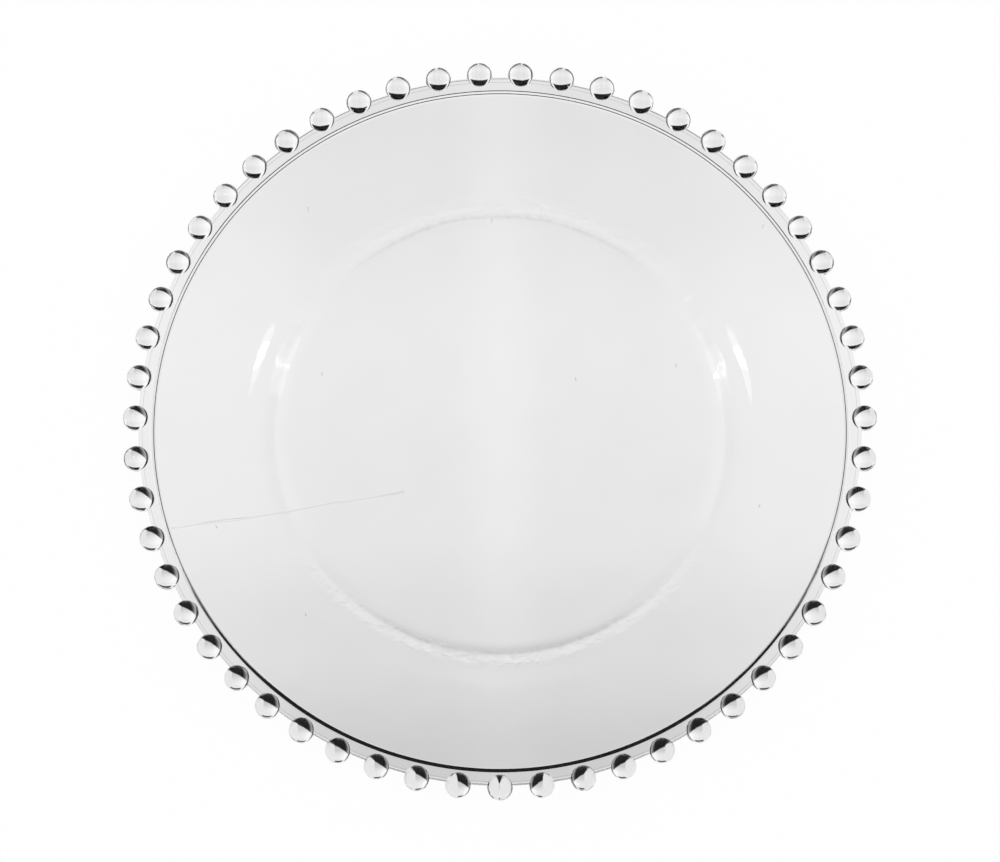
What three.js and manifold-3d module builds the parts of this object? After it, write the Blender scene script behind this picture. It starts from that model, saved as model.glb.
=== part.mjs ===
// A clear pressed-glass dessert plate: a shallow dish with a flat well, a broad sloping flange and a thinner
// rim band, whose edge carries a ring of round glass beads, each in a seat of its own.
// Millimetres, +Z up. The origin is the centre of the foot, on the surface that the plate stands on, and the
// first bead is at the front, towards -Y.

import * as THREE from "three";
import { mergeVertices } from "three/addons/utils/BufferGeometryUtils.js";
import Module from "manifold-3d";

// Dish: sizes along its upper surface, from the centre outwards.
const glassThickness = 4; // of the well
const wellRadius = 61.4; // to the corner where the floor turns up into the verge
const vergeWidth = 7;
const vergeRise = 2.55;
const vergeFillet = 25; // hollow curve at the foot of the verge
const shoulderFillet = 20; // round where the verge meets the flange
const flangeWidth = 26;
const flangeRise = 2.95;

// Rim band: level on top, and pressed thinner than the flange from below.
const rimBandWidth = 3.7;
const rimBandThickness = 2.8;
const rimEdgeFillet = 0.6;
const stepSetback = 0.3; // the underside step starts this far outside the top's turn to the band
const stepWidth = 1.1; // of the sloping face that leads from the band down to the flange's underside

// Underside: it follows the top, about as thick from the well to the step.
const footSetback = 0.2; // the foot's outer corner lies this far outside the verge's foot
const footFillet = 1.5;
const shoulderThickness = 3.9; // straight down from the shoulder
const underShoulderSetback = 0.5; // the underside turns this far outside the shoulder
const underShoulderFillet = 18;
const flangeThickness = 3.9; // straight down, where the flange ends at the step

// Foot: a flat ring under the well, with a faint hollow inside it so that the plate doesn't rock.
const footRingWidth = 9.5; // from the foot's outer corner inwards
const footHollow = 0.5; // rise of the underside at the centre

// Beads
const beadCount = 55;
const beadDiameter = 7;
const beadStandOff = 0.85; // a bead's centre lies this far outside the rim's edge
const beadDrop = 0.9; // and this far under the rim's top
const seatClearance = 0.3; // between a bead and its seat in the rim

// Facets
const turnSegments = 72; // around the plate
const filletSteps = 3;
const gentleSteps = 2; // on curves that turn only a little
const rimEdgeSteps = 2;
const beadSegments = 12; // around a bead
const beadRings = 6; // from a bead's pole to pole

const wasm = await Module();
wasm.setup();

// A corner of the plate's section: r from the axis, z above the table, and the fillet that rounds it.
function corner(r, z, fillet = 0, steps = filletSteps) {
  return { point: new THREE.Vector2(r, z), fillet, steps };
}

// Points of an open outline whose corners are rounded by arcs. An arc takes up at most half of each side.
function roundedOutline(corners) {
  const points = [];
  corners.forEach(({ point, fillet, steps }, i) => {
    if (fillet === 0) {
      points.push(point);
      return;
    }
    const back = corners[i - 1].point.clone().sub(point);
    const ahead = corners[i + 1].point.clone().sub(point);
    const shorterSide = Math.min(back.length(), ahead.length());
    back.normalize();
    ahead.normalize();
    const halfAngle = Math.acos(back.dot(ahead)) / 2;
    const reach = Math.min(fillet / Math.tan(halfAngle), shorterSide / 2);
    const radius = reach * Math.tan(halfAngle);
    const bisector = back.clone().add(ahead).normalize();
    const centre = point.clone().addScaledVector(bisector, radius / Math.sin(halfAngle));
    const start = point.clone().addScaledVector(back, reach).sub(centre);
    const end = point.clone().addScaledVector(ahead, reach).sub(centre);
    const turnsRight = back.cross(ahead) > 0;
    const arc = new THREE.EllipseCurve(
      centre.x, centre.y, radius, radius, start.angle(), end.angle(), turnsRight,
    );
    points.push(...arc.getPoints(steps));
  });
  return points;
}

// Driven radii and heights
const shoulderRadius = wellRadius + vergeWidth;
const bandRadius = shoulderRadius + flangeWidth;
const rimRadius = bandRadius + rimBandWidth;
const wellHeight = glassThickness;
const shoulderHeight = wellHeight + vergeRise;
const rimHeight = shoulderHeight + flangeRise;
const bandUnderside = rimHeight - rimBandThickness;
const footRadius = wellRadius + footSetback;
const underShoulderRadius = shoulderRadius + underShoulderSetback;
const stepRadius = bandRadius + stepSetback;
const stepFootRadius = stepRadius - stepWidth;
const stepFootTop = rimHeight - (bandRadius - stepFootRadius) * (flangeRise / flangeWidth);
const beadRadius = beadDiameter / 2;
const beadCircleRadius = rimRadius + beadStandOff;
const beadHeight = rimHeight - beadDrop;

// The plate's section from the middle of the well, out over the top to the rim and back along the underside.
function plateSection() {
  return roundedOutline([
    corner(0, wellHeight),
    corner(wellRadius, wellHeight, vergeFillet),
    corner(shoulderRadius, shoulderHeight, shoulderFillet, gentleSteps),
    corner(bandRadius, rimHeight),
    corner(rimRadius, rimHeight, rimEdgeFillet, rimEdgeSteps),
    corner(rimRadius, bandUnderside, rimEdgeFillet, rimEdgeSteps),
    corner(stepRadius, bandUnderside),
    corner(stepFootRadius, stepFootTop - flangeThickness),
    corner(underShoulderRadius, shoulderHeight - shoulderThickness, underShoulderFillet, gentleSteps),
    corner(footRadius, 0, footFillet, gentleSteps),
    corner(footRadius - footRingWidth, 0),
    corner(0, footHollow),
  ]);
}

// A solid for cutting, from a closed geometry.
function solidFrom(geometry) {
  const bare = geometry.clone();
  bare.deleteAttribute("normal");
  bare.deleteAttribute("uv");
  const merged = mergeVertices(bare);
  return new wasm.Manifold(
    new wasm.Mesh({
      numProp: 3,
      vertProperties: merged.attributes.position.array,
      triVerts: merged.index.array,
    }),
  );
}

function geometryFrom(solid) {
  const mesh = solid.getMesh();
  const geometry = new THREE.BufferGeometry();
  geometry.setAttribute("position", new THREE.BufferAttribute(mesh.vertProperties, mesh.numProp));
  geometry.setIndex(new THREE.BufferAttribute(mesh.triVerts, 1));
  geometry.computeVertexNormals();
  return geometry;
}

// A ball with its poles up and down. The beads and the seats that they lie in share its facets.
function ball(radius) {
  return new THREE.SphereGeometry(radius, beadSegments, beadRings).rotateX(Math.PI / 2);
}

// Bead places, anticlockwise from the front as seen from above.
const beadTurns = Array.from({ length: beadCount }, (_, i) => (i / beadCount) * Math.PI * 2 - Math.PI / 2);

function atBeadPlace(object, turn) {
  object.position.set(beadCircleRadius * Math.cos(turn), beadCircleRadius * Math.sin(turn), beadHeight);
  object.rotation.z = turn;
  object.updateMatrix();
  return object;
}

function plateBodyGeometry() {
  const dish = new THREE.LatheGeometry(plateSection().reverse(), turnSegments).rotateX(Math.PI / 2);
  const seat = ball(beadRadius + seatClearance);
  let body = solidFrom(dish);
  for (const turn of beadTurns) {
    const place = atBeadPlace(new THREE.Object3D(), turn);
    body = body.subtract(solidFrom(seat.clone().applyMatrix4(place.matrix)));
  }
  return geometryFrom(body);
}

const plateGlass = new THREE.MeshStandardMaterial({
  name: "pressed_glass",
  color: 0xeef2f1,
  roughness: 0.06,
  metalness: 0,
  transparent: true,
  opacity: 0.35,
});

const beadGlass = new THREE.MeshStandardMaterial({
  name: "bead_glass",
  color: 0xf4f7f6,
  roughness: 0.03,
  metalness: 0,
  transparent: true,
  opacity: 0.4,
});

const dessertPlate = new THREE.Group();
dessertPlate.name = "dessert_plate";

const plateBody = new THREE.Mesh(plateBodyGeometry(), plateGlass);
plateBody.name = "plate_body";
dessertPlate.add(plateBody);

const beadGeometry = ball(beadRadius);
beadTurns.forEach((turn, i) => {
  const bead = atBeadPlace(new THREE.Mesh(beadGeometry, beadGlass), turn);
  bead.name = `bead_${String(i + 1).padStart(2, "0")}`;
  dessertPlate.add(bead);
});

export default dessertPlate;
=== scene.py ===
import math

import bmesh
import bpy
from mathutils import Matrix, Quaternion, Vector


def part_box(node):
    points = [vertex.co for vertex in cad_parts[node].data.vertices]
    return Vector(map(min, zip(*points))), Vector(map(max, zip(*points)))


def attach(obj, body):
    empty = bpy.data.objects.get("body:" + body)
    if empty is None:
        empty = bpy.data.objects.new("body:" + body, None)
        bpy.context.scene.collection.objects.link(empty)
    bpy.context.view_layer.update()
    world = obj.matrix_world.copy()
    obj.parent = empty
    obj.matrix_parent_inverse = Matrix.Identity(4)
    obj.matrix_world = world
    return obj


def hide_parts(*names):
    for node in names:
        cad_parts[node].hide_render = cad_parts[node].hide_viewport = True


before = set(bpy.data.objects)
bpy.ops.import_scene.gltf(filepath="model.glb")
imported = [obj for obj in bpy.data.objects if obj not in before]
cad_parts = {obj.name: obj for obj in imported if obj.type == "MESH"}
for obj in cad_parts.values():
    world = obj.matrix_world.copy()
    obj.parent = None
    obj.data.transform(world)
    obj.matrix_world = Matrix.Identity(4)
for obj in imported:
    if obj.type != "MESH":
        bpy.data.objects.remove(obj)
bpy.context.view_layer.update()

mm = 0.001
white = (1, 1, 1, 1)
glassIor = 1.5
mergeDistance = 1e-6
print("frame loaded:", len(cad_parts), "nodes")


# shared helpers

def linear(hexColour):
    # sRGB hex to the linear colour that a shader socket takes
    parts = [int(hexColour[i:i + 2], 16) / 255 for i in (1, 3, 5)]
    return [c / 12.92 if c <= 0.04045 else ((c + 0.055) / 1.055) ** 2.4 for c in parts] + [1.0]


def addNode(tree, kind, inputs=None, **settings):
    # a new node: settings are its own properties, inputs are constants or sockets to link
    node = tree.nodes.new(kind)
    for key, value in settings.items():
        setattr(node, key, value)
    for key, value in (inputs or {}).items():
        if isinstance(value, bpy.types.NodeSocket):
            tree.links.new(value, node.inputs[key])
        else:
            node.inputs[key].default_value = value
    return node


def combine(tree, operation, *values):
    # the result of a Math node on constants or sockets
    node = addNode(tree, "ShaderNodeMath", dict(enumerate(values)), operation=operation)
    return node.outputs[0]


def rise(tree, value, low, high, bottom=0.0, top=1.0):
    # goes from bottom to top while the value goes from low to high, and stays level beyond them
    node = addNode(tree, "ShaderNodeMapRange", {
        "Value": value, "From Min": low, "From Max": high, "To Min": bottom, "To Max": top})
    return node.outputs[0]


def noise(tree, where, size, detail, distortion=0.0):
    return addNode(tree, "ShaderNodeTexNoise", {
        "Vector": where, "Scale": 1 / size, "Detail": detail, "Distortion": distortion})


def bump(tree, height, distance, under=None, invert=False):
    # a relief on top of the normal that is given as under
    inputs = {"Height": height, "Distance": distance, "Strength": 1.0}
    if under is not None:
        inputs["Normal"] = under
    return addNode(tree, "ShaderNodeBump", inputs, invert=invert).outputs[0]


def colourRamp(tree, share, colours, places=(0.0, 1.0)):
    node = addNode(tree, "ShaderNodeValToRGB", {0: share})
    for element, colour, at in zip(node.color_ramp.elements, colours, places):
        element.position = at
        element.color = linear(colour)
    return node.outputs[0]


def blend(tree, share, first, second):
    # a Mix node has its two colours at sockets 6 and 7, and the mixed colour at 2
    node = addNode(tree, "ShaderNodeMix", {"Factor": share, 6: first, 7: second}, data_type="RGBA")
    return node.outputs[2]


def glow(tree, strength):
    return addNode(tree, "ShaderNodeEmission", {"Color": white, "Strength": strength}).outputs[0]


def showSurface(tree, shader):
    addNode(tree, "ShaderNodeOutputMaterial", {"Surface": shader})


def newMaterial(name):
    material = bpy.data.materials.new(name)
    material.use_nodes = True
    material.node_tree.nodes.clear()
    return material, material.node_tree


def newTree(name, sockets):
    # a Geometry Nodes tree with named inputs and one mesh as its output
    tree = bpy.data.node_groups.new(name, "GeometryNodeTree")
    for label, kind in sockets.items():
        tree.interface.new_socket(label, in_out="INPUT", socket_type=kind)
    tree.interface.new_socket("Mesh", in_out="OUTPUT", socket_type="NodeSocketGeometry")
    return tree, tree.nodes.new("NodeGroupInput"), tree.nodes.new("NodeGroupOutput")


def bakeTree(name, start, tree, values):
    # runs a tree on a start mesh and gives back the plain mesh that it makes
    source = bpy.data.objects.new(name + "Source", start)
    bpy.context.scene.collection.objects.link(source)
    modifier = source.modifiers.new(tree.name, "NODES")
    modifier.node_group = tree
    for item in tree.interface.items_tree:
        if item.in_out == "INPUT" and item.name in values:
            modifier[item.identifier] = values[item.name]
    bpy.context.view_layer.update()
    shaped = source.evaluated_get(bpy.context.evaluated_depsgraph_get())
    mesh = bpy.data.meshes.new_from_object(shaped)
    mesh.name = name
    bpy.data.objects.remove(source)
    return mesh


def place(name, mesh):
    piece = bpy.data.objects.new(name, mesh)
    bpy.context.scene.collection.objects.link(piece)
    return piece


# dish: sizes of the turned body of the plate

dish = {
    "glassThickness": 4.0 * mm,
    "wellRadius": 61.4 * mm,
    "vergeWidth": 7.0 * mm,
    "vergeRise": 2.55 * mm,
    "vergeFillet": 14.0 * mm,
    "gentleInset": 2.4 * mm,
    "gentleSlope": 10.9,  # degrees
    "shoulderFillet": 20.0 * mm,
    "flangeWidth": 26.0 * mm,
    "flangeRise": 2.95 * mm,
    "bandFillet": 8.0 * mm,
    "rimBandWidth": 3.7 * mm,
    "rimBandThickness": 3.0 * mm,
    "rimEdgeFillet": 0.35 * mm,
    "rimUnderFillet": 0.12 * mm,
    "partingLine": 0.9 * mm,
    "partingLip": 0.08 * mm,
    "grooveWidth": 0.28 * mm,
    "grooveRise": 0.2 * mm,
    "stepSetback": 0.3 * mm,
    "stepWidth": 1.09 * mm,
    "riserWidth": 0.16 * mm,
    "riserHeight": 0.3 * mm,
    "stepFillet": 0.4 * mm,
    "crispFillet": 0.05 * mm,
    "footSetback": 0.2 * mm,
    "footFillet": 2.2 * mm,
    "shoulderThickness": 3.9 * mm,
    "underShoulderSetback": 0.5 * mm,
    "underShoulderFillet": 18.0 * mm,
    "flangeThickness": 3.75 * mm,
    "footRingWidth": 9.5 * mm,
    "footEdgeFillet": 3.0 * mm,
    "footHollow": 0.5 * mm,
    "filletSteps": 10,
    "segments": 275,
}


# glass of the plate

plateWear = {
    # a long wave in the whole surface
    "waveSize": 26 * mm,
    "waveHeight": 0.4 * mm,
    "waveDetail": 2.0,
    # ripples in a ring along the verge's foot, calm near the middle of both sides
    "rippleSize": 2.4 * mm,
    "rippleHeight": 0.35 * mm,
    "rippleDetail": 3.0,
    "rippleDistortion": 0.6,
    "rippleFrom": 60 * mm,
    "rippleTo": 66 * mm,
    "rippleEase": 2 * mm,
    "rippleRoughness": 0.05,
    "calmWithin": 24 * mm,
    "calmEase": 20 * mm,
    "calmShare": 0.06,
    # clouds of a little more or less polish
    "cloudSize": 14 * mm,
    "cloudDetail": 4.0,
    "cloudRange": (0.3, 0.7),
    "cloudRoughness": (0.015, 0.03),
    "cloudTints": ("#fdfdfd", "#ffffff"),
    # a broken grey line of painted shade along the foot, at the front and the back
    "footShadeRadius": 61.2 * mm,
    "footShadeFrom": 46 * mm,
    "footShadeEase": 10 * mm,
    "footShadeWidth": 1.3 * mm,
    "footShadeWander": 4 * mm,
    "footShadeBreaks": (0.2, 0.7),
    "footShadeTint": "#d9d9d7",
    # one long scratch
    "scratchStart": (-89 * mm, -25.9 * mm, 0),
    "scratchTurn": 9.95,  # degrees
    "scratchBend": 3 * mm,
    "scratchLength": 64 * mm,
    "scratchWidth": 0.22 * mm,
    "scratchDepth": 0.07 * mm,
    "scratchTint": "#f3f3f1",
    # seeds in the cells whose random value is above a limit
    "seedSpacing": 24 * mm,
    "seedRadius": 0.22 * mm,
    "seedCore": 0.4,
    "seedLimit": 0.72,
    "seedTint": "#8a8a88",
}


def rippleZone(tree, radius):
    w = plateWear
    inside = rise(tree, radius, w["rippleFrom"], w["rippleFrom"] + w["rippleEase"])
    outside = rise(tree, radius, w["rippleTo"], w["rippleTo"] - w["rippleEase"])
    return combine(tree, "MULTIPLY", inside, outside)


def rippleRelief(tree, chill, zone, away):
    # the ripples are strong at the front and the back, and calm at both sides
    w = plateWear
    ends = rise(tree, away, w["calmWithin"], w["calmWithin"] + w["calmEase"])
    strength = combine(tree, "MULTIPLY_ADD", ends, 1 - w["calmShare"], w["calmShare"])
    ripple = combine(tree, "MULTIPLY", chill, zone)
    return combine(tree, "MULTIPLY", ripple, strength)


def scratchMark(tree, where, drift):
    # one long scratch across the left of the plate, laid along the mapped X axis
    w = plateWear
    bent = addNode(tree, "ShaderNodeVectorMath", {
        0: drift, 1: (0, w["scratchBend"], 0), 2: where}, operation="MULTIPLY_ADD")
    laid = addNode(tree, "ShaderNodeMapping", {
        "Vector": bent.outputs[0], "Location": w["scratchStart"],
        "Rotation": (0, 0, math.radians(w["scratchTurn"]))}, vector_type="TEXTURE")
    line = addNode(tree, "ShaderNodeSeparateXYZ", {0: laid.outputs[0]})
    off = combine(tree, "ABSOLUTE", line.outputs["Y"])
    groove = rise(tree, off, w["scratchWidth"], 0)
    started = combine(tree, "GREATER_THAN", line.outputs["X"], 0)
    ended = combine(tree, "LESS_THAN", line.outputs["X"], w["scratchLength"])
    scratch = combine(tree, "MULTIPLY", started, ended)
    return combine(tree, "MULTIPLY", scratch, groove)


def paintedFootShade(tree, radius, away, height, wave, chill):
    # painted shade: a faint grey line that wanders along the foot, at the front and the back of the
    # underside, where the foot's edge shows dark through the glass
    w = plateWear
    under = combine(tree, "LESS_THAN", height, dish["glassThickness"] / 2)
    reach = rise(tree, away, w["footShadeFrom"], w["footShadeFrom"] + w["footShadeEase"])
    broken = rise(tree, chill, *w["footShadeBreaks"])
    wander = combine(tree, "MULTIPLY_ADD", wave, w["footShadeWander"], radius)
    gap = combine(tree, "SUBTRACT", wander, w["footShadeRadius"] + w["footShadeWander"] / 2)
    gap = combine(tree, "ABSOLUTE", gap)
    mark = rise(tree, gap, w["footShadeWidth"], 0)
    for share in (under, reach, broken):
        mark = combine(tree, "MULTIPLY", mark, share)
    return mark


def seedMark(tree, where):
    w = plateWear
    cells = addNode(tree, "ShaderNodeTexVoronoi", {
        "Vector": where, "Scale": 1 / w["seedSpacing"]}, voronoi_dimensions="2D")
    chance = addNode(tree, "ShaderNodeSeparateColor", {0: cells.outputs["Color"]})
    picked = combine(tree, "GREATER_THAN", chance.outputs["Red"], w["seedLimit"])
    size = w["seedRadius"] / w["seedSpacing"]
    dot = rise(tree, cells.outputs["Distance"], size, w["seedCore"] * size)
    return combine(tree, "MULTIPLY", dot, picked)


def finishGlass(tree, colour, roughness, normal):
    glass = addNode(tree, "ShaderNodeBsdfPrincipled", {
        "Base Color": colour, "Roughness": roughness, "IOR": glassIor,
        "Transmission Weight": 1.0, "Normal": normal})
    showSurface(tree, glass.outputs[0])


def makePressedGlass():
    # soda-lime glass pressed in an iron mould and fire-polished: clear and neutral, with a long wave in its
    # surface, ripples where the hot glass met the colder foot of the mould, a grey line of painted shade
    # along the foot at the front and the back, a scratch from use and a few dark seeds
    w = plateWear
    material, tree = newMaterial("pressedGlass")
    where = addNode(tree, "ShaderNodeTexCoord").outputs["Object"]
    axes = addNode(tree, "ShaderNodeSeparateXYZ", {0: where})
    away = combine(tree, "ABSOLUTE", axes.outputs["Y"])
    flat = addNode(tree, "ShaderNodeVectorMath", {0: where, 1: (1, 1, 0)}, operation="MULTIPLY")
    length = addNode(tree, "ShaderNodeVectorMath", {0: flat.outputs[0]}, operation="LENGTH")
    radius = length.outputs["Value"]
    wave = noise(tree, where, w["waveSize"], w["waveDetail"])
    chill = noise(tree, where, w["rippleSize"], w["rippleDetail"], w["rippleDistortion"]).outputs[0]
    cloud = noise(tree, where, w["cloudSize"], w["cloudDetail"]).outputs[0]
    zone = rippleZone(tree, radius)
    ripples = rippleRelief(tree, chill, zone, away)
    scratch = scratchMark(tree, where, wave.outputs["Color"])
    footShade = paintedFootShade(tree, radius, away, axes.outputs["Z"], wave.outputs[0], chill)
    seeds = seedMark(tree, where)
    relief = bump(tree, wave.outputs[0], w["waveHeight"])
    relief = bump(tree, ripples, w["rippleHeight"], relief)
    relief = bump(tree, scratch, w["scratchDepth"], relief, invert=True)
    roughness = rise(tree, cloud, *w["cloudRange"], *w["cloudRoughness"])
    roughness = combine(tree, "MULTIPLY_ADD", zone, w["rippleRoughness"], roughness)
    colour = colourRamp(tree, cloud, w["cloudTints"], w["cloudRange"])
    # a grey line of painted shade along the foot, at the front and the back
    colour = blend(tree, footShade, colour, linear(w["footShadeTint"]))
    colour = blend(tree, scratch, colour, linear(w["scratchTint"]))
    colour = blend(tree, seeds, colour, linear(w["seedTint"]))
    finishGlass(tree, colour, roughness, relief)
    return material


# glass of the beads and of the joints

beadWear = {
    "waveSize": 2.4 * mm,
    "waveHeight": 0.2 * mm,
    "waveDetail": 1.0,
    "smudgeRange": (0.68, 0.8),
    "smudgeRoughness": 0.003,  # more than this and a bead no longer shows the dark cards
    "tints": ("#fcfcfc", "#ffffff"),
}


def makeBeadGlass():
    # glass gathered into balls and fire-polished: mirror-smooth but never quite round, so that what it bends
    # into view has a wavering edge
    w = beadWear
    material, tree = newMaterial("firePolishedGlass")
    where = addNode(tree, "ShaderNodeTexCoord").outputs["Object"]
    wave = noise(tree, where, w["waveSize"], w["waveDetail"]).outputs[0]
    relief = bump(tree, wave, w["waveHeight"])
    smudge = rise(tree, wave, *w["smudgeRange"], 0.0, w["smudgeRoughness"])
    finishGlass(tree, colourRamp(tree, wave, w["tints"]), smudge, relief)
    return material


def makeFusedJoint():
    # where a bead and the rim have melted into one there is no surface to see
    material, tree = newMaterial("fusedGlassJoint")
    showSurface(tree, addNode(tree, "ShaderNodeBsdfTransparent").outputs[0])
    return material


pressedGlass = makePressedGlass()
beadGlass = makeBeadGlass()
jointGlass = makeFusedJoint()
print("materials made")


# turning the dish from its section

arcMargin = 1.04  # a point stands just past each end of an arc, at this share of its reach


def roundedOutline(corners, steps):
    # corners are (r, z, fillet), and each fillet becomes an arc
    points = []
    for i, (r, z, fillet) in enumerate(corners):
        at = Vector((r, z))
        if not fillet:
            points.append(at)
            continue
        back = Vector(corners[i - 1][:2]) - at
        ahead = Vector(corners[i + 1][:2]) - at
        shorter = min(back.length, ahead.length)
        back.normalize()
        ahead.normalize()
        half = back.angle(ahead) / 2
        reach = min(fillet / math.tan(half), shorter / 2)
        radius = reach * math.tan(half)
        centre = at + (back + ahead).normalized() * (radius / math.sin(half))
        start = at + back * reach - centre
        sweep = math.copysign(math.pi - 2 * half, back.cross(ahead) * -1)
        points.append(at + back * reach * arcMargin)
        for step in range(steps + 1):
            turn = sweep * step / steps
            points.append(centre + Vector((
                start.x * math.cos(turn) - start.y * math.sin(turn),
                start.x * math.sin(turn) + start.y * math.cos(turn))))
        points.append(at + ahead * reach * arcMargin)
    return points


def dishSection(d):
    # from the middle of the well, out over the top to the rim and back along the underside
    shoulderRadius = d["wellRadius"] + d["vergeWidth"]
    bandRadius = shoulderRadius + d["flangeWidth"]
    rimRadius = bandRadius + d["rimBandWidth"]
    shoulderHeight = d["glassThickness"] + d["vergeRise"]
    rimHeight = shoulderHeight + d["flangeRise"]
    bandUnder = rimHeight - d["rimBandThickness"]
    partingRadius = rimRadius - d["partingLine"]
    footRadius = d["wellRadius"] + d["footSetback"]
    # a gentler slope leads from the well into the verge
    vergeSlope = d["vergeRise"] / d["vergeWidth"]
    gentle = math.tan(math.radians(d["gentleSlope"]))
    gentleStart = d["wellRadius"] - d["gentleInset"]
    gentleEnd = (vergeSlope * d["wellRadius"] - gentle * gentleStart) / (vergeSlope - gentle)
    gentleTop = d["glassThickness"] + gentle * (gentleEnd - gentleStart)
    # the step leads from the band down to the flange's underside
    stepOuter = bandRadius + d["stepSetback"]
    stepInner = stepOuter - d["stepWidth"]
    stepMiddle = (stepOuter + stepInner) / 2
    stepDrop = (bandRadius - stepInner) * d["flangeRise"] / d["flangeWidth"]
    stepFoot = rimHeight - stepDrop - d["flangeThickness"]
    stepTop = bandUnder + d["grooveRise"]
    stepHalf = (stepTop + stepFoot) / 2
    return roundedOutline([
        (0, d["glassThickness"], 0),
        (gentleStart, d["glassThickness"], d["vergeFillet"]),
        (gentleEnd, gentleTop, d["vergeFillet"]),
        (shoulderRadius, shoulderHeight, d["shoulderFillet"]),
        (bandRadius, rimHeight, d["bandFillet"]),
        (rimRadius, rimHeight, d["rimEdgeFillet"]),
        (rimRadius, bandUnder, d["rimUnderFillet"]),
        # the mould's parting line, just inside the edge
        (partingRadius, bandUnder, d["crispFillet"]),
        (partingRadius - d["crispFillet"], bandUnder + d["partingLip"], d["crispFillet"]),
        # a fine groove runs along the step, and two slopes lead down it, with a little riser between them
        (stepOuter + d["grooveWidth"], bandUnder, d["crispFillet"]),
        (stepOuter, stepTop, d["crispFillet"]),
        (stepMiddle + d["riserWidth"] / 2, stepHalf + d["riserHeight"] / 2, d["crispFillet"]),
        (stepMiddle - d["riserWidth"] / 2, stepHalf - d["riserHeight"] / 2, d["crispFillet"]),
        (stepInner, stepFoot, d["stepFillet"]),
        (shoulderRadius + d["underShoulderSetback"], shoulderHeight - d["shoulderThickness"],
         d["underShoulderFillet"]),
        (footRadius, 0, d["footFillet"]),
        (footRadius - d["footRingWidth"], 0, d["footEdgeFillet"]),
        (0, d["footHollow"], 0),
    ], d["filletSteps"])


def turningTree():
    # turns a section, drawn as a row of points, into a closed body round the Z axis
    tree, given, out = newTree("turnSection", {
        "Section": "NodeSocketGeometry", "Segments": "NodeSocketInt", "Material": "NodeSocketMaterial"})
    section = given.outputs["Section"]
    segments = given.outputs["Segments"]
    count = addNode(tree, "GeometryNodeAttributeDomainSize", {0: section})
    columns = combine(tree, "ADD", segments, 1)
    sheet = addNode(tree, "GeometryNodeMeshGrid", {
        "Vertices X": count.outputs["Point Count"], "Vertices Y": columns})
    index = addNode(tree, "GeometryNodeInputIndex").outputs[0]
    row = combine(tree, "FLOOR", combine(tree, "DIVIDE", index, columns))
    column = combine(tree, "MODULO", index, columns)
    share = combine(tree, "DIVIDE", column, segments)
    turn = combine(tree, "MULTIPLY", share, 2 * math.pi)
    drawn = addNode(tree, "GeometryNodeInputPosition")
    point = addNode(tree, "GeometryNodeSampleIndex", {
        "Geometry": section, "Value": drawn.outputs[0], "Index": row}, data_type="FLOAT_VECTOR")
    turned = addNode(tree, "ShaderNodeVectorRotate", {
        "Vector": point.outputs[0], "Angle": turn}, rotation_type="Z_AXIS")
    body = addNode(tree, "GeometryNodeSetPosition", {
        0: sheet.outputs["Mesh"], "Position": turned.outputs[0]})
    body = addNode(tree, "GeometryNodeMergeByDistance", {0: body.outputs[0], "Distance": mergeDistance})
    body = addNode(tree, "GeometryNodeRealizeInstances", {0: body.outputs[0]})
    body = addNode(tree, "GeometryNodeSetMaterial", {
        0: body.outputs[0], "Material": given.outputs["Material"]})
    tree.links.new(body.outputs[0], out.inputs[0])
    return tree


def turnDish():
    section = dishSection(dish)
    row = bpy.data.meshes.new("dishSection")
    row.from_pydata([(p.x, 0, p.y) for p in section], [(i, i + 1) for i in range(len(section) - 1)], [])
    return bakeTree("dish", row, turningTree(), {"Segments": dish["segments"], "Material": pressedGlass})


# rim beads: one ball of glass at each bead's place in the frame

beadNodes = sorted(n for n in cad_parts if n.startswith("bead_"))
firstLow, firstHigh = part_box(beadNodes[0])
firstCentre = (firstLow + firstHigh) / 2
beadInset = 0.02 * mm  # keeps the balls inside the frame's own box

beads = {
    "diameter": firstHigh.z - firstLow.z - beadInset,
    "ringRadius": math.hypot(firstCentre.x, firstCentre.y),
    "height": firstCentre.z,
    "count": len(beadNodes),
    "firstTurn": math.atan2(firstCentre.y, firstCentre.x),
    "twist": math.radians(1.7),  # keeps a ball's edges off the dish's own
    "segments": 46,
    "rings": 25,
}


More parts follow.
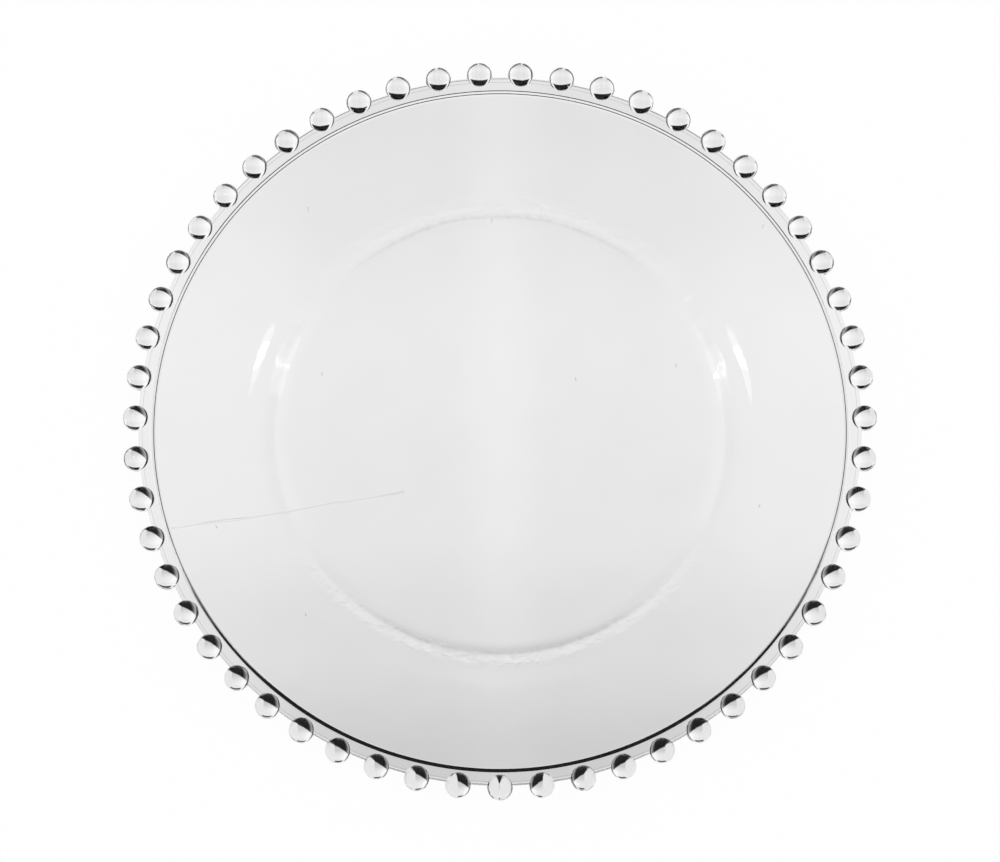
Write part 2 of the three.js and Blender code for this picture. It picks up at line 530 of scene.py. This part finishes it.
def beadTree():
    # balls on a circle, each turned to face outwards and then twisted a little
    tree, given, out = newTree("ringOfBeads", {
        "Source": "NodeSocketGeometry", "Count": "NodeSocketInt", "Ring Radius": "NodeSocketFloat",
        "Height": "NodeSocketFloat", "First Turn": "NodeSocketFloat", "Twist": "NodeSocketFloat",
        "Diameter": "NodeSocketFloat",
        "Segments": "NodeSocketInt", "Rings": "NodeSocketInt", "Material": "NodeSocketMaterial"})
    count = given.outputs["Count"]
    firstTurn = given.outputs["First Turn"]
    ring = addNode(tree, "GeometryNodeMeshCircle", {
        "Vertices": count, "Radius": given.outputs["Ring Radius"]})
    lift = addNode(tree, "ShaderNodeCombineXYZ", {"Z": given.outputs["Height"]})
    turn = addNode(tree, "ShaderNodeCombineXYZ", {"Z": firstTurn})
    ring = addNode(tree, "GeometryNodeTransform", {
        0: ring.outputs[0], "Translation": lift.outputs[0], "Rotation": turn.outputs[0]})
    radius = combine(tree, "MULTIPLY", given.outputs["Diameter"], 0.5)
    ball = addNode(tree, "GeometryNodeMeshUVSphere", {
        "Segments": given.outputs["Segments"], "Rings": given.outputs["Rings"], "Radius": radius})
    index = addNode(tree, "GeometryNodeInputIndex").outputs[0]
    apart = combine(tree, "DIVIDE", 2 * math.pi, count)
    facing = combine(tree, "MULTIPLY_ADD", index, apart, given.outputs["Twist"])
    facing = combine(tree, "ADD", facing, firstTurn)
    facing = addNode(tree, "ShaderNodeCombineXYZ", {"Z": facing})
    copies = addNode(tree, "GeometryNodeInstanceOnPoints", {
        "Points": ring.outputs[0], "Instance": ball.outputs["Mesh"], "Rotation": facing.outputs[0]})
    solid = addNode(tree, "GeometryNodeRealizeInstances", {0: copies.outputs[0]})
    solid = addNode(tree, "GeometryNodeSetMaterial", {
        0: solid.outputs[0], "Material": given.outputs["Material"]})
    tree.links.new(solid.outputs[0], out.inputs[0])
    return tree


def makeBalls(material):
    return bakeTree("balls", bpy.data.meshes.new("beadSeed"), beadTree(), {
        "Count": beads["count"], "Ring Radius": beads["ringRadius"], "Height": beads["height"],
        "First Turn": beads["firstTurn"], "Twist": beads["twist"], "Diameter": beads["diameter"],
        "Segments": beads["segments"], "Rings": beads["rings"], "Material": material})


# fusing: the dish and the balls are cut by each other and share the faces of the joints

def cut(name, mesh, cutter):
    # mesh minus cutter; the faces that the cutter leaves keep the cutter's material
    piece = place(name, mesh)
    tool = place(name + "Cutter", cutter)
    modifier = piece.modifiers.new("cut", "BOOLEAN")
    modifier.operation = "DIFFERENCE"
    modifier.solver = "EXACT"
    modifier.material_mode = "TRANSFER"
    modifier.object = tool
    bpy.context.view_layer.update()
    made = bpy.data.meshes.new_from_object(piece.evaluated_get(bpy.context.evaluated_depsgraph_get()))
    bpy.data.objects.remove(piece)
    bpy.data.objects.remove(tool)
    made.name = name
    return made


def facesOf(mesh, material, flip=False):
    # a loose mesh of the faces that have the material
    bm = bmesh.new()
    bm.from_mesh(mesh)
    slot = list(mesh.materials).index(material)
    bmesh.ops.delete(bm, geom=[f for f in bm.faces if f.material_index != slot], context="FACES")
    if flip:
        bmesh.ops.reverse_faces(bm, faces=bm.faces)
    for face in bm.faces:
        face.material_index = 0
    part = bpy.data.meshes.new(mesh.name + "Faces")
    bm.to_mesh(part)
    bm.free()
    return part


def joinFaces(name, parts, materials):
    # one closed mesh from loose parts, each part with its own material slot
    bm = bmesh.new()
    for slot, part in enumerate(parts):
        first = len(bm.faces)
        bm.from_mesh(part)
        bm.faces.ensure_lookup_table()
        for face in bm.faces[first:]:
            face.material_index = slot
    bmesh.ops.remove_doubles(bm, verts=bm.verts, dist=mergeDistance)
    for face in bm.faces:
        face.smooth = True
    for edge in bm.edges:
        slots = {f.material_index for f in edge.link_faces}
        edge.smooth = len(slots) == 1
    print(name, "open edges:", sum(len(e.link_faces) != 2 for e in bm.edges), "faces:", len(bm.faces))
    mesh = bpy.data.meshes.new(name)
    bm.to_mesh(mesh)
    bm.free()
    for material in materials:
        mesh.materials.append(material)
    return mesh


turned = turnDish()
balls = makeBalls(beadGlass)
seats = makeBalls(jointGlass)
dishCut = cut("dishCut", turned, seats)
beadsCut = cut("beadsCut", balls, turned.copy())
plateParts = [facesOf(dishCut, pressedGlass), facesOf(dishCut, jointGlass)]
beadParts = [facesOf(beadsCut, beadGlass), facesOf(dishCut, jointGlass, flip=True)]
plateGlass = place("plate_glass", joinFaces("plate_glass", plateParts, [pressedGlass, jointGlass]))
rimBeads = place("rim_beads", joinFaces("rim_beads", beadParts, [beadGlass, jointGlass]))
print("plate and beads made")

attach(plateGlass, "root")
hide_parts("plate_body")
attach(rimBeads, "root")
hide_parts(*beadNodes)


# studio: a floor of white paper that glows a little

paper = {
    "size": 8.0,
    "drop": 0.3 * mm,
    "colour": "#f2f2f2",
    "glow": 1.07,
    "glowShare": 0.9,
}


def makeFloor():
    half = paper["size"] / 2
    low = -paper["drop"]
    mesh = bpy.data.meshes.new("floor")
    mesh.from_pydata([(-half, -half, low), (half, -half, low), (half, half, low), (-half, half, low)],
                     [], [(0, 1, 2, 3)])
    floor = place("floor", mesh)
    floor.visible_transmission = False
    material, tree = newMaterial("paperFloor")
    matt = addNode(tree, "ShaderNodeBsdfDiffuse", {"Color": linear(paper["colour"])})
    mix = addNode(tree, "ShaderNodeMixShader", {
        0: paper["glowShare"], 1: matt.outputs[0], 2: glow(tree, paper["glow"])})
    showSurface(tree, mix.outputs[0])
    mesh.materials.append(material)


# light table: what shows through the glass, under the floor; each list is (place in metres, level)

lightTable = {
    "depth": 250 * mm,
    "halfWidth": 0.6,
    "front": -0.5,
    "back": 0.65,
    # from front to back, and from the middle outwards
    "glow": [(-0.20, 0.86), (-0.11, 0.6), (-0.045, 0.65), (-0.01, 0.77), (0.03, 0.855), (0.085, 0.885),
             (0.131, 0.84), (0.15, 0.82), (0.24, 0.86)],
    "wings": [(0.0, 1.042), (0.018, 1.0), (0.045, 1.0), (0.085, 1.05), (0.2, 1.2)],
    # black cards round the table, which only the beads' sharp surfaces show
    "frontSlant": 0.55,
    "frontEdge": [(-0.127, 1.0), (-0.103, 0.0)],
    "frontWidth": [(0.16, 1.0), (0.30, 0.5)],
    "backEdge": [(0.232, 0.0), (0.25, 1.0), (0.46, 1.0), (0.52, 0.5)],
    "backWidth": [(0.17, 1.0), (0.23, 0.0)],
    "sideEdge": [(0.31, 0.0), (0.35, 1.0), (0.52, 1.0), (0.56, 0.0)],
    # two white cards stand upright along the middle of the front, so that each bead sees its own side only
    "foldGap": 15 * mm,
    "foldBack": 0.04,
    "foldTop": -2 * mm,
    "foldEdge": [(-0.13, 0.0), (-0.11, 0.85)],
}


def levelAlong(tree, value, stops):
    # eases between (place, level) stops as the value goes along
    low = stops[0][0]
    high = stops[-1][0]
    ramp = addNode(tree, "ShaderNodeValToRGB", {0: rise(tree, value, low, high)})
    ramp.color_ramp.interpolation = "EASE"
    while len(ramp.color_ramp.elements) < len(stops):
        ramp.color_ramp.elements.new(0.5)
    for element, (at, level) in zip(ramp.color_ramp.elements, stops):
        element.position = (at - low) / (high - low)
        element.color = [level] * 3 + [1]
    return ramp.outputs[0]


def throughGlassOnly(name, corners, material):
    # a stage sheet that nothing but a ray through glass meets
    mesh = bpy.data.meshes.new(name)
    mesh.from_pydata(corners, [], [(0, 1, 2, 3)])
    mesh.materials.append(material)
    material.cycles.emission_sampling = "NONE"
    sheet = place(name, mesh)
    sheet.visible_camera = False
    sheet.visible_diffuse = False
    sheet.visible_glossy = False
    sheet.visible_shadow = False


def makeLightTable():
    t = lightTable
    material, tree = newMaterial("lightTable")
    where = addNode(tree, "ShaderNodeTexCoord")
    axes = addNode(tree, "ShaderNodeSeparateXYZ", {0: where.outputs["Object"]})
    along = axes.outputs["Y"]
    side = combine(tree, "ABSOLUTE", axes.outputs["X"])
    slanted = combine(tree, "MULTIPLY_ADD", side, -t["frontSlant"], along)
    front = combine(tree, "MULTIPLY", levelAlong(tree, slanted, t["frontEdge"]),
                    levelAlong(tree, side, t["frontWidth"]))
    back = combine(tree, "MULTIPLY", levelAlong(tree, along, t["backEdge"]),
                   levelAlong(tree, side, t["backWidth"]))
    cards = combine(tree, "MAXIMUM", front, back)
    cards = combine(tree, "MAXIMUM", cards, levelAlong(tree, side, t["sideEdge"]))
    path = addNode(tree, "ShaderNodeLightPath")
    hidden = combine(tree, "MULTIPLY", cards, path.outputs["Is Singular Ray"])
    shown = combine(tree, "SUBTRACT", 1.0, hidden)
    plain = combine(tree, "MULTIPLY", levelAlong(tree, along, t["glow"]),
                    levelAlong(tree, side, t["wings"]))
    showSurface(tree, glow(tree, combine(tree, "MULTIPLY", plain, shown)))
    throughGlassOnly("light_table", [
        (-t["halfWidth"], t["front"], -t["depth"]), (t["halfWidth"], t["front"], -t["depth"]),
        (t["halfWidth"], t["back"], -t["depth"]), (-t["halfWidth"], t["back"], -t["depth"])], material)


def makeFoldCards():
    t = lightTable
    material, tree = newMaterial("foldCard")
    where = addNode(tree, "ShaderNodeTexCoord")
    axes = addNode(tree, "ShaderNodeSeparateXYZ", {0: where.outputs["Object"]})
    light = glow(tree, levelAlong(tree, axes.outputs["Y"], t["foldEdge"]))
    clear = addNode(tree, "ShaderNodeBsdfTransparent")
    path = addNode(tree, "ShaderNodeLightPath")
    mix = addNode(tree, "ShaderNodeMixShader", {
        0: path.outputs["Is Singular Ray"], 1: clear.outputs[0], 2: light})
    showSurface(tree, mix.outputs[0])
    for name, x in (("fold_left", -t["foldGap"] / 2), ("fold_right", t["foldGap"] / 2)):
        throughGlassOnly(name, [
            (x, t["front"], -t["depth"]), (x, t["foldBack"], -t["depth"]),
            (x, t["foldBack"], t["foldTop"]), (x, t["front"], t["foldTop"])], material)


# room: its brightness as the camera, a reflection and a ray through glass see it

room = {
    "seen": 1.0,
    "around": 0.35,
    # through glass it is white below the table's edge and dark above it, by the height of a ray's direction
    "edge": (-0.10, -0.03),
    "below": 0.93,
    "above": 0.04,
}


def makeWorld():
    world = bpy.data.worlds.new("studio")
    bpy.context.scene.world = world
    world.use_nodes = True
    tree = world.node_tree
    tree.nodes.clear()
    where = addNode(tree, "ShaderNodeTexCoord")
    axes = addNode(tree, "ShaderNodeSeparateXYZ", {0: where.outputs["Generated"]})
    level = rise(tree, axes.outputs["Z"], *room["edge"], room["below"], room["above"])
    path = addNode(tree, "ShaderNodeLightPath")
    seen = addNode(tree, "ShaderNodeBackground", {"Color": white, "Strength": room["seen"]})
    around = addNode(tree, "ShaderNodeBackground", {"Color": white, "Strength": room["around"]})
    through = addNode(tree, "ShaderNodeBackground", {"Color": white, "Strength": level})
    unseen = addNode(tree, "ShaderNodeMixShader", {
        0: path.outputs["Is Transmission Ray"], 1: around.outputs[0], 2: through.outputs[0]})
    mix = addNode(tree, "ShaderNodeMixShader", {
        0: path.outputs["Is Camera Ray"], 1: unseen.outputs[0], 2: seen.outputs[0]})
    addNode(tree, "ShaderNodeOutputWorld", {"Surface": mix.outputs[0]})


lamps = {
    "direction": (0.350, 0.105, 0.932),  # of the right ones; the left ones mirror it
    "distance": 1.4,
    "gap": 0.01,
    # turned so that a lamp's long side runs down the slope of the verge that shows it
    "turn": math.radians(38),
    "across": 0.28,
    # on either side a narrow bright lamp inside a broad faint one: (along, watts)
    "boxes": [(0.03, 0.125), (0.2, 0.16)],
}


def makeLamps():
    x, y, z = lamps["direction"]
    for name, side in (("left", -1), ("right", 1)):
        out = Vector((side * x, y, z)).normalized()
        spin = Quaternion((0, 0, 1), -side * lamps["turn"])
        for number, (along, watts) in enumerate(lamps["boxes"]):
            lamp = bpy.data.lights.new(name + "Lamp", "AREA")
            lamp.shape = "ELLIPSE"
            lamp.size = along
            lamp.size_y = lamps["across"]
            lamp.energy = watts
            box = bpy.data.objects.new(name + "Lamp", lamp)
            box.location = out * (lamps["distance"] + lamps["gap"] * number)
            box.rotation_mode = "QUATERNION"
            box.rotation_quaternion = out.to_track_quat("Z", "Y") @ spin
            bpy.context.scene.collection.objects.link(box)


makeFloor()
makeLightTable()
makeFoldCards()
makeWorld()
makeLamps()

view = {
    "elevation": 77.7,  # degrees
    "distance": 2.5,
    "frameWidth": 271.4 * mm,
    "aim": Vector((0, -0.75 * mm, 8.6 * mm)),
    "sensorWidth": 36,
    "clipEnd": 50,
}


def makeCamera():
    lens = bpy.data.cameras.new("camera")
    lens.sensor_width = view["sensorWidth"]
    lens.lens = view["sensorWidth"] * view["distance"] / view["frameWidth"]
    lens.clip_end = view["clipEnd"]
    camera = bpy.data.objects.new("camera", lens)
    elevation = math.radians(view["elevation"])
    back = Vector((0, -math.cos(elevation), math.sin(elevation)))
    camera.location = view["aim"] + back * view["distance"]
    camera.rotation_mode = "QUATERNION"
    camera.rotation_quaternion = (-back).to_track_quat("-Z", "Y")
    bpy.context.scene.collection.objects.link(camera)
    bpy.context.scene.camera = camera


makeCamera()
bpy.context.scene.view_settings.view_transform = "Standard"
print("studio ready")
